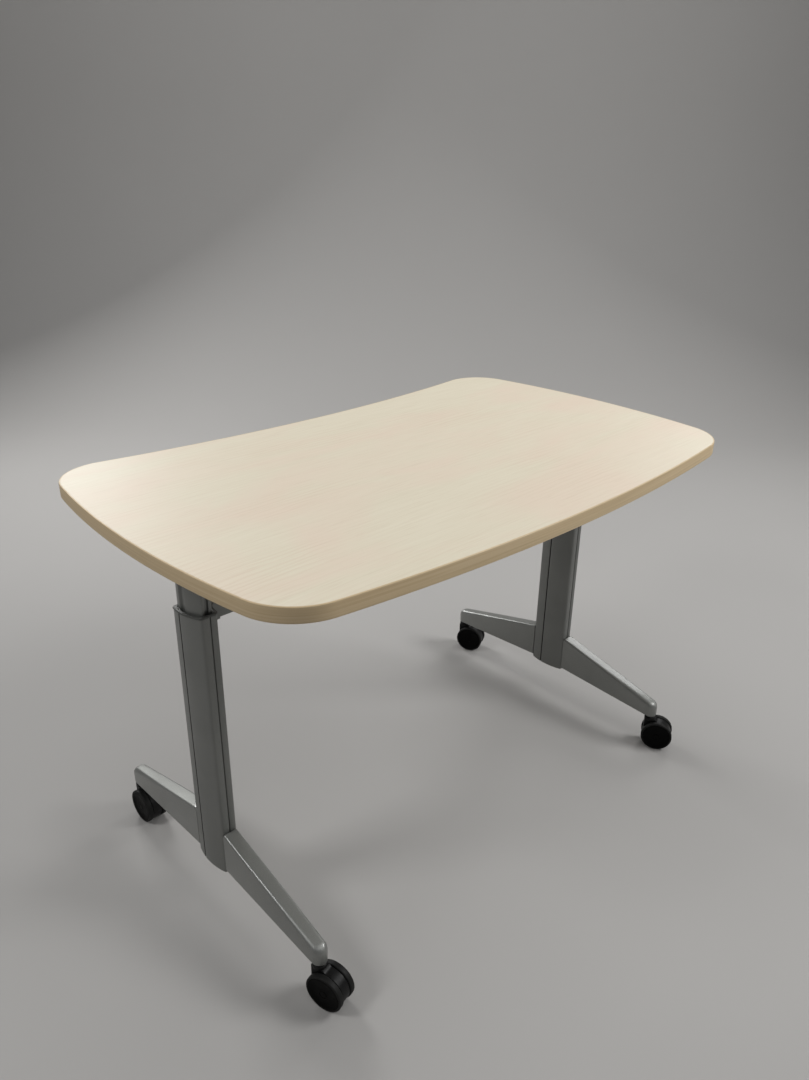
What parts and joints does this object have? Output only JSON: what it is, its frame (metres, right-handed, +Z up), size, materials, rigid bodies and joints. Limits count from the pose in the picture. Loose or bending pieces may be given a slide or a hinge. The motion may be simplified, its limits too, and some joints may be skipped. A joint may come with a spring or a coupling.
{
  "type": "flat desk",
  "caption": "Mobile flat desk with a bow-front laminate top on telescoping legs, tapered feet and twin-wheel casters; the top slides up and down and the casters swivel and roll.",
  "frame": {"origin": "on the floor, under the middle of the desk's overall box", "axes": "+Z up, +X along the length of the top, -Y towards the person seated at the bowed edge"},
  "size_m": [1.2, 0.7488, 0.773],
  "materials": {
    "maple_laminate": "satin laminate",
    "chipboard": "raw",
    "backer_paper": "matte laminate",
    "edge_plastic": "wood-look, satin",
    "silver_alloy": "satin silver-grey paint",
    "silver_paint": "satin silver-grey",
    "black_nylon": "matte",
    "dark_steel": "satin",
    "zinc_steel": "zinc plated",
    "caster_plastic": "satin black"
  },
  "bodies": {
    "base": {"stretcher": "silver_paint", "outer_column_left": "silver_alloy", "collar_left": "silver_alloy", "end_plug_left": "black_nylon", "foot_front_left": "silver_alloy", "foot_rear_left": "silver_alloy", "beam_saddle_left": "silver_paint", "outer_column_right": "silver_alloy", "collar_right": "silver_alloy", "end_plug_right": "black_nylon", "foot_front_right": "silver_alloy", "foot_rear_right": "silver_alloy", "beam_saddle_right": "silver_paint", "caster_neck_lf": "dark_steel", "caster_neck_rf": "dark_steel", "caster_neck_lr": "dark_steel", "caster_neck_rr": "dark_steel"},
    "top": {"edge_band": "edge_plastic", "top_laminate": "maple_laminate", "core_board": "chipboard", "backer_sheet": "backer_paper", "inner_column_left": "silver_alloy", "glide_shoe_left": "black_nylon", "mount_plate_left": "dark_steel", "plate_screw_left_1": "zinc_steel", "plate_screw_left_2": "zinc_steel", "plate_screw_left_3": "zinc_steel", "plate_screw_left_4": "zinc_steel", "inner_column_right": "silver_alloy", "glide_shoe_right": "black_nylon", "mount_plate_right": "dark_steel", "plate_screw_right_1": "zinc_steel", "plate_screw_right_2": "zinc_steel", "plate_screw_right_3": "zinc_steel", "plate_screw_right_4": "zinc_steel"},
    "caster_lf": {"caster_hood_lf": "caster_plastic", "caster_axle_lf": "zinc_steel"},
    "wheel_lf_a": {"caster_wheel_lf_a": "caster_plastic"},
    "wheel_lf_b": {"caster_wheel_lf_b": "caster_plastic"},
    "caster_rf": {"caster_hood_rf": "caster_plastic", "caster_axle_rf": "zinc_steel"},
    "wheel_rf_a": {"caster_wheel_rf_a": "caster_plastic"},
    "wheel_rf_b": {"caster_wheel_rf_b": "caster_plastic"},
    "caster_lr": {"caster_hood_lr": "caster_plastic", "caster_axle_lr": "zinc_steel"},
    "wheel_lr_a": {"caster_wheel_lr_a": "caster_plastic"},
    "wheel_lr_b": {"caster_wheel_lr_b": "caster_plastic"},
    "caster_rr": {"caster_hood_rr": "caster_plastic", "caster_axle_rr": "zinc_steel"},
    "wheel_rr_a": {"caster_wheel_rr_a": "caster_plastic"},
    "wheel_rr_b": {"caster_wheel_rr_b": "caster_plastic"}
  },
  "joints": [
    {"name": "height", "type": "slide", "parent": "base", "child": "top", "axis": [0, 0, 1], "range_m": [-0.085, 0.2]},
    {"name": "swivel_lf", "type": "hinge", "parent": "base", "child": "caster_lf", "pos_m": [-0.503, -0.293, 0.0803], "axis": [0, 0, 1], "continuous": true},
    {"name": "roll_lf_a", "type": "hinge", "parent": "caster_lf", "child": "wheel_lf_a", "pos_m": [-0.49782, -0.31232, 0.03574], "axis": [0.9659, 0.2588, 0], "continuous": true},
    {"name": "roll_lf_b", "type": "hinge", "parent": "caster_lf", "child": "wheel_lf_b", "pos_m": [-0.49782, -0.31232, 0.03574], "axis": [0.9659, 0.2588, 0], "continuous": true},
    {"name": "swivel_rf", "type": "hinge", "parent": "base", "child": "caster_rf", "pos_m": [0.503, -0.293, 0.0803], "axis": [0, 0, 1], "continuous": true},
    {"name": "roll_rf_a", "type": "hinge", "parent": "caster_rf", "child": "wheel_rf_a", "pos_m": [0.513, -0.31032, 0.03574], "axis": [0.866, 0.5, 0], "continuous": true},
    {"name": "roll_rf_b", "type": "hinge", "parent": "caster_rf", "child": "wheel_rf_b", "pos_m": [0.513, -0.31032, 0.03574], "axis": [0.866, 0.5, 0], "continuous": true},
    {"name": "swivel_lr", "type": "hinge", "parent": "base", "child": "caster_lr", "pos_m": [-0.503, 0.313, 0.0803], "axis": [0, 0, 1], "continuous": true},
    {"name": "roll_lr_a", "type": "hinge", "parent": "caster_lr", "child": "wheel_lr_a", "pos_m": [-0.5023, 0.29301, 0.03574], "axis": [0.9994, 0.0349, 0], "continuous": true},
    {"name": "roll_lr_b", "type": "hinge", "parent": "caster_lr", "child": "wheel_lr_b", "pos_m": [-0.5023, 0.29301, 0.03574], "axis": [0.9994, 0.0349, 0], "continuous": true},
    {"name": "swivel_rr", "type": "hinge", "parent": "base", "child": "caster_rr", "pos_m": [0.503, 0.313, 0.0803], "axis": [0, 0, 1], "continuous": true},
    {"name": "roll_rr_a", "type": "hinge", "parent": "caster_rr", "child": "wheel_rr_a", "pos_m": [0.51177, 0.29502, 0.03574], "axis": [0.8988, 0.4384, 0], "continuous": true},
    {"name": "roll_rr_b", "type": "hinge", "parent": "caster_rr", "child": "wheel_rr_b", "pos_m": [0.51177, 0.29502, 0.03574], "axis": [0.8988, 0.4384, 0], "continuous": true}
  ]
}
